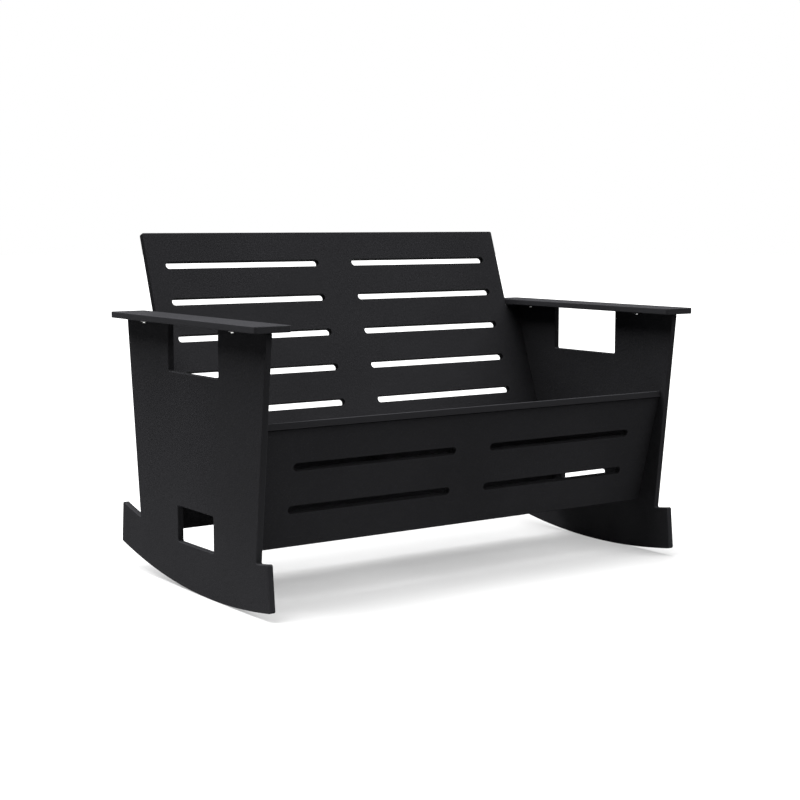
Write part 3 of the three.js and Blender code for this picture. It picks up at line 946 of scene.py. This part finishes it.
def batten_places(lines):
    """Each batten: its middle across the bench, its foot, the way up it, the way it faces,
    its two ends, and the way in from the panel or rib that it lies against."""
    boards, _, _ = sizes()
    side = boards.batten_side
    depth = side + FIT_GAP
    up, back, seat = lines.apron_up, lines.back_up, lines.seat_back
    behind_apron = lines.apron_rear - lines.apron_front * depth
    before_back = lines.back_foot + lines.back_front * depth
    under = lines.seat_foot - lines.seat_top * depth
    apron_reach = reach(behind_apron, up, lines.seat_foot, seat)
    back_reach = (ARM_LOW.z - LOWER_EDGE_HEIGHT) / math.cos(boards.back_lean)
    seat_ends = (
        reach(under, seat, behind_apron, up) + END_GAP,
        reach(under, seat, lines.back_foot, back) - END_GAP,
    )
    on_apron = (lines.apron_rear, up, lines.apron_front)
    on_back = (lines.back_rear, back, lines.back_front)
    on_seat = (lines.seat_foot, seat, lines.seat_top)
    facing_back = (lines.back_foot, back, -lines.back_front)
    beside_panel = {
        "back": (*on_back, CLEAT_FOOT_INSET, back_reach - BACK_CLEAT_TOP_INSET),
        "apron": (*on_apron, CLEAT_FOOT_INSET, apron_reach - END_GAP),
        "seat": (*on_seat, *seat_ends),
    }
    places = {}
    for name, sign in SIDES:
        x = sign * (sheet_half_width() - side / 2)
        for sheet, lie in beside_panel.items():
            places[f"{name}_{sheet}_cleat"] = (x, *lie, -sign)
    x = boards.thickness / 2 + FIT_GAP + side / 2
    rib_reach = reach(before_back, back, lines.seat_foot, seat)
    for name, lie, end in (("front", on_apron, apron_reach), ("rear", facing_back, rib_reach)):
        end -= RIB_CLEAT_TOP_INSET
        places[f"rib_{name}_cleat"] = (x, *lie, end - RIB_CLEAT_LENGTH, end, 1)
    return places


def make_batten(place):
    """One batten, already in its place."""
    side = sizes()[0].batten_side
    x, foot, up, facing, start, end, _ = place
    piece = block("batten", (-side / 2, start, 0), (side / 2, end, side))
    mark_arrises(piece)
    corner = foot - facing * (side + FIT_GAP)
    stand(piece, up.cross(facing), up, Vector((x, corner.y, corner.z)))
    return piece


# Steel.


def screw_outline(kind):
    """The turned outline of a screw: heights and radii from its point to the top of its head."""
    shank, head, head_height, length = SCREWS[kind]
    root = shank - THREAD_DEPTH
    start = POINT_LENGTH - length
    seat = -head_height if kind == "flush" else 0.0
    steps = [(-length, shank * POINT_SHARE), (start, root)]
    for turn in range(int((length - 2 * POINT_LENGTH + seat) / THREAD_PITCH)):
        for rise, depth in THREAD_TURN:
            steps.append((start + (turn + rise) * THREAD_PITCH, root + depth * THREAD_DEPTH))
    if kind == "flush":
        rim = (-2 * FLUSH_RIM, head), (0.0, head - FLUSH_RIM)
        return steps + [(seat, shank - THREAD_DEPTH / 2), *rim]
    dome = [(rise * head_height, reach_out * head) for rise, reach_out in DOMED_HEAD]
    return steps + [(seat, shank), *dome]


def make_screw(kind):
    """One screw, upright: threaded below its head's seat, with a six-sided socket in the head."""
    (z, radius), *steps = screw_outline(kind)
    clear_selection()
    bpy.ops.mesh.primitive_circle_add(
        vertices=SCREW_SIDES, radius=radius, fill_type="NGON", location=(0, 0, z),
    )
    screw = applied(kind)
    open_all(screw)
    for next_z, next_radius in steps:
        bpy.ops.mesh.extrude_region_move(TRANSFORM_OT_translate={"value": (0, 0, next_z - z)})
        scale = next_radius / radius
        bpy.ops.transform.resize(value=(scale, scale, 1), center_override=(0, 0, next_z))
        z, radius = next_z, next_radius
    bpy.ops.mesh.select_all(action="SELECT")
    bpy.ops.mesh.normals_make_consistent(inside=False)
    bpy.ops.object.mode_set(mode="OBJECT")
    _, head, head_height, _ = SCREWS[kind]
    depth = head_height * SOCKET_DEPTH_SHARE
    socket_radius = head * SOCKET_RADIUS_SHARE
    take_out(screw, disc("socket", (0, 0), socket_radius, z - depth, z + depth, SOCKET_SIDES))
    take_up(screw)
    bpy.ops.object.shade_smooth_by_angle(angle=SMOOTH_ANGLE)
    return screw


def screw_places(lines):
    """Every screw: its kind, its head's seat and the way out of its head."""
    half = sizes()[0].batten_side / 2
    found = {}
    for name, (x, foot, up, facing, start, end, inward) in batten_places(lines).items():
        rib = name.startswith("rib")
        centre = foot - facing * (FIT_GAP + half)
        side_inset = RIB_SCREW_INSET if rib else SIDE_SCREW_INSET
        face_inset = RIB_CLEAT_LENGTH - RIB_SCREW_INSET if rib else FACE_SCREW_INSET
        for kind, inset in (("side", side_inset), ("sheet", face_inset)):
            distances = [start + inset] if rib else [start + inset, end - inset]
            for number, distance in enumerate(distances, 1):
                seat = centre + up * distance
                seat.x = x
                out = ACROSS * inward if kind == "side" else -facing
                seat = seat + out * (half + FIT_GAP)
                found[f"{name}_{kind}_screw_{number}"] = ("batten", seat, out)
    for plate, (x, y, outward) in plate_places().items():
        base = Vector((x, y, panel_top() - PLATE_SIZE[2]))
        for sign in (-1, 1):
            facing = "outer" if sign == outward else "inner"
            seat = base + ACROSS * (sign * PLATE_SCREW_SPACING / 2) - UPWARD * FIT_GAP
            found[f"{plate}_arm_screw_{facing}"] = ("arm", seat, -UPWARD)
        found[f"{plate}_panel_screw"] = ("flush", base + UPWARD * PLATE_SIZE[2], UPWARD)
    return found


def plate_places():
    """Each arm plate: its middle across the bench, its place along it, and its outer side."""
    front, rear = top_corners()
    origin = side_origin()
    places = {}
    for name, sign in SIDES:
        x = sign * panel_middle()
        places[name + "_front"] = (x, front + FRONT_PLATE_INSET + origin, sign)
        places[name + "_rear"] = (x, rear - REAR_PLATE_INSET + origin, sign)
    return places


def make_plate():
    """One arm plate, flat: a bar with rounded corners, two clear holes and a countersunk one."""
    length, width, thickness = PLATE_SIZE
    bar = block("plate", (-length / 2, -width / 2, 0), (length / 2, width / 2, thickness))
    round_corners(bar, PLATE_CORNER)
    part_faces(bar, (0, 0, 0), REARWARD)
    shank, head, head_height, _ = SCREWS["flush"]
    half, arm_shank = PLATE_SCREW_SPACING / 2, SCREWS["arm"][0]
    for x, radius in ((-half, arm_shank), (half, arm_shank), (0, shank)):
        clear = radius + FIT_GAP
        take_out(bar, disc("hole", (x, 0), clear, -OVERRUN, thickness + OVERRUN, HOLE_SIDES))
    clear_selection()
    depth = head_height + FIT_GAP
    bpy.ops.mesh.primitive_cone_add(
        vertices=HOLE_SIDES, radius1=shank, radius2=head + FIT_GAP, depth=depth,
        location=(0, 0, thickness - depth / 2 + CONE_OVERRUN),
    )
    take_out(bar, applied("countersink"))
    weld(bar)
    mark_arrises(bar)
    return bar


# Operators.


class BENCH_OT_studio(bpy.types.Operator):
    """Adds the camera, the pale floor, the soft lights and the white surroundings"""

    bl_idname = "bench.studio"
    bl_label = "Studio"

    def execute(self, context):
        studio = context.scene.bench_studio
        context.scene.view_settings.view_transform = "Standard"
        add_camera(context, studio)
        add_floor(studio)
        add_lights(context, studio)
        add_world(context)
        return {"FINISHED"}


def add_camera(context, studio):
    """The camera of the picture."""
    data = bpy.data.cameras.new("Camera")
    data.sensor_fit = "HORIZONTAL"
    data.lens = studio.lens
    camera = bpy.data.objects.new("Camera", data)
    camera.location = studio.camera_place
    camera.rotation_euler = (math.pi / 2 - studio.camera_dip, 0, -studio.camera_yaw)
    context.collection.objects.link(camera)
    context.scene.camera = camera


def seen_directly(recipe):
    """1 for rays from the camera, off gloss or through glass, and 0 for the rest."""
    total = 0.0
    for name in ("Is Camera Ray", "Is Glossy Ray", "Is Transmission Ray"):
        total = total + recipe.node("ShaderNodeLightPath", {}, {}, name)
    return recipe.node("ShaderNodeClamp", {}, {"Value": total})


def add_floor(studio):
    """A wide floor that is white in the picture and still takes the bench's shadow. It throws
    back less light away from the bench."""
    clear_selection()
    bpy.ops.mesh.primitive_circle_add(vertices=FLOOR_SIDES, radius=FLOOR_RADIUS, fill_type="NGON")
    floor = applied("floor")
    recipe = Recipe(bpy.data.materials.new("Pale floor"))
    aside = recipe.vector("ABSOLUTE", recipe.place())
    aside = recipe.vector("MAXIMUM", recipe.vector("SUBTRACT", aside, CAD_BOX[1]))
    away = recipe.vector("LENGTH", aside, output="Value")
    tone = recipe.span(away, 0.0, studio.floor_fade, studio.floor_near, studio.floor_far)
    lit = sum(
        energy / math.pi * math.cos(source.angle(UPWARD)) for _, energy, source in lights(studio)
    )
    lift = seen_directly(recipe) * (studio.floor_white - tone * lit)
    floor.data.materials.append(recipe.surface({
        "Base Color": tone, "Roughness": 1.0, "Specular IOR Level": 0.0,
        "Emission Color": lift, "Emission Strength": 1.0,
    }))
    floor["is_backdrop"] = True


def lights(studio):
    """The name, the strength and the direction of each light."""
    return (
        ("Overhead light", studio.key_strength, Vector(studio.key_from)),
        ("Front light", studio.front_strength, Vector(studio.front_from)),
    )


def add_lights(context, studio):
    """Broad, even lights from overhead and from before the bench."""
    for name, energy, source in lights(studio):
        data = bpy.data.lights.new(name, "SUN")
        data.angle = studio.light_breadth
        data.energy = energy
        light = bpy.data.objects.new(name, data)
        light.rotation_euler = (-source).to_track_quat("-Z", "Y").to_euler()
        context.collection.objects.link(light)


def add_world(context):
    """Surroundings that are white to the camera and in gloss, and give no light."""
    world = bpy.data.worlds.new("White room")
    context.scene.world = world
    recipe = Recipe(world)
    sockets = {"Color": seen_directly(recipe), "Strength": 1.0}
    background = recipe.node("ShaderNodeBackground", {}, sockets)
    recipe.node("ShaderNodeOutputWorld", {}, {"Surface": background})


class BENCH_OT_side_panels(bpy.types.Operator):
    """Makes the two side panels with their rockers, hand holds and low cut-outs"""

    bl_idname = "bench.side_panels"
    bl_label = "Side panels"

    def execute(self, context):
        boards = context.scene.bench_boards
        first = make_side_panel()
        for (side, sign), look in zip(SIDES, PANEL_LOOKS):
            panel = copy_of(first, side + "_rocker_sheet")
            foot = Vector((sign * panel_middle() - boards.thickness / 2, side_origin(), 0))
            stand(panel, REARWARD, UPWARD, foot)
            dress_sheet(panel, side + "_side_panel", side + " side", ACROSS, *look)
        bpy.data.meshes.remove(first.data)
        return {"FINISHED"}


class BENCH_OT_arms(bpy.types.Operator):
    """Makes the two flat arms"""

    bl_idname = "bench.arms"
    bl_label = "Arms"

    def execute(self, context):
        first = make_arm()
        for (side, sign), look in zip(SIDES, ARM_LOOKS):
            arm = copy_of(first, side + "_arm_board")
            stand(arm, ACROSS, REARWARD, Vector((sign * panel_middle(), ARM_LOW.y, ARM_LOW.z)))
            dress_sheet(arm, side + "_arm", side + " arm", UPWARD, *look)
        bpy.data.meshes.remove(first.data)
        return {"FINISHED"}


class BENCH_OT_sheets(bpy.types.Operator):
    """Makes the slotted back, seat and apron that join the side panels"""

    bl_idname = "bench.sheets"
    bl_label = "Back, seat and apron"

    def execute(self, context):
        lines = sheet_lines()
        back = ("back", make_back(), "back_panel", lines.back_up, lines.back_rear)
        seat = ("seat", make_seat(lines), "seat_panel", lines.seat_back, lines.seat_foot)
        apron = ("apron", make_apron(lines), "front_apron", lines.apron_up, lines.apron_rear)
        for (name, sheet, node, up, foot), look in zip((back, seat, apron), SHEET_LOOKS):
            sheet.name = name + "_sheet"
            stand(sheet, ACROSS, up, foot)
            dress_sheet(sheet, node, name, ACROSS.cross(up), *look)
        return {"FINISHED"}


class BENCH_OT_frame_under_seat(bpy.types.Operator):
    """Makes the rib under the seat and the battens behind the sheets"""

    bl_idname = "bench.frame_under_seat"
    bl_label = "Rib and battens"

    def execute(self, context):
        boards = context.scene.bench_boards
        lines = sheet_lines()
        rib = make_rib(lines)
        rib.name = "seat_rib_sheet"
        stand(rib, REARWARD, UPWARD, Vector((-boards.thickness / 2, 0, 0)))
        dress_sheet(rib, "seat_center_rib", "rib", ACROSS, *RIB_LOOK)
        material = batten_material()
        for node, place in batten_places(lines).items():
            batten = make_batten(place)
            batten.name = node.replace("cleat", "batten")
            ease(batten, boards.edge_round)
            settle(batten, node, material)
        return {"FINISHED"}


class BENCH_OT_arm_plates(bpy.types.Operator):
    """Makes the four stainless plates that hold the arms to the side panels"""

    bl_idname = "bench.arm_plates"
    bl_label = "Arm plates"

    def execute(self, context):
        first = make_plate()
        # Painted shade: the plates' steel is drawn nearly black.
        tint = context.scene.bench_finish.plate_shade_colour
        material = steel_material("Brushed plate", tint, grain=(30.0, 1.0, 1.0), depth=0.00002)
        for name, (x, y, _) in plate_places().items():
            plate = copy_of(first, name + "_plate")
            stand(plate, ACROSS, REARWARD, Vector((x, y, panel_top() - PLATE_SIZE[2])))
            ease(plate, PLATE_EDGE, PLATE_EDGE_STEPS)
            settle(plate, name + "_arm_plate", material)
        bpy.data.meshes.remove(first.data)
        return {"FINISHED"}


class BENCH_OT_screws(bpy.types.Operator):
    """Makes one screw of each kind and sets its copies"""

    bl_idname = "bench.screws"
    bl_label = "Screws"

    def execute(self, context):
        kinds = {kind: make_screw(kind) for kind in SCREWS}
        tint = context.scene.bench_finish.screw_colour
        material = steel_material("Turned screw", tint, grain=(1.0, 1.0, 1.0), depth=0.00001)
        for node, (kind, seat, out) in screw_places(sheet_lines()).items():
            screw = copy_of(kinds[kind], node.replace("_screw", "_fastener"))
            sideways = REARWARD if abs(out.dot(ACROSS)) > NEARLY_ALONG else ACROSS
            stand(screw, sideways, out.cross(sideways), seat)
            settle(screw, node, material)
        for screw in kinds.values():
            bpy.data.meshes.remove(screw.data)
        return {"FINISHED"}


class BENCH_PT_panel(bpy.types.Panel):
    """Lists the pieces of the bench and their sizes"""

    bl_idname = "BENCH_PT_panel"
    bl_label = "Rocking bench"
    bl_space_type = "VIEW_3D"
    bl_region_type = "UI"
    bl_category = "Bench"

    def draw(self, context):
        for name, group in SETTINGS.items():
            box = self.layout.box()
            for key in group.__annotations__:
                box.prop(getattr(context.scene, name), key)
        for operator in PIECES:
            self.layout.operator(operator.bl_idname)


SETTINGS = {
    "bench_boards": BenchBoards,
    "bench_panels": BenchSidePanels,
    "bench_slots": BenchSlots,
    "bench_finish": BenchFinish,
    "bench_studio": BenchStudio,
}
PIECES = (
    BENCH_OT_studio,
    BENCH_OT_side_panels,
    BENCH_OT_arms,
    BENCH_OT_sheets,
    BENCH_OT_frame_under_seat,
    BENCH_OT_arm_plates,
    BENCH_OT_screws,
)


def register():
    """Adds the settings, the operators and the panel."""
    for name, group in SETTINGS.items():
        bpy.utils.register_class(group)
        setattr(bpy.types.Scene, name, PointerProperty(type=group))
    for operator in PIECES:
        bpy.utils.register_class(operator)
    bpy.utils.register_class(BENCH_PT_panel)


def unregister():
    """Takes the settings, the operators and the panel away again."""
    bpy.utils.unregister_class(BENCH_PT_panel)
    for operator in reversed(PIECES):
        bpy.utils.unregister_class(operator)
    for name, group in SETTINGS.items():
        delattr(bpy.types.Scene, name)
        bpy.utils.unregister_class(group)


def main():
    """Builds the whole bench."""
    register()
    bpy.ops.bench.studio()
    bpy.ops.bench.side_panels()
    bpy.ops.bench.arms()
    bpy.ops.bench.sheets()
    bpy.ops.bench.frame_under_seat()
    bpy.ops.bench.arm_plates()
    bpy.ops.bench.screws()
    boxes = {"cad": CAD_BOX, "visual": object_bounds()}
    {name: [list(corner) for corner in box] for name, box in boxes.items()}


if __name__ == "__main__":
    main()
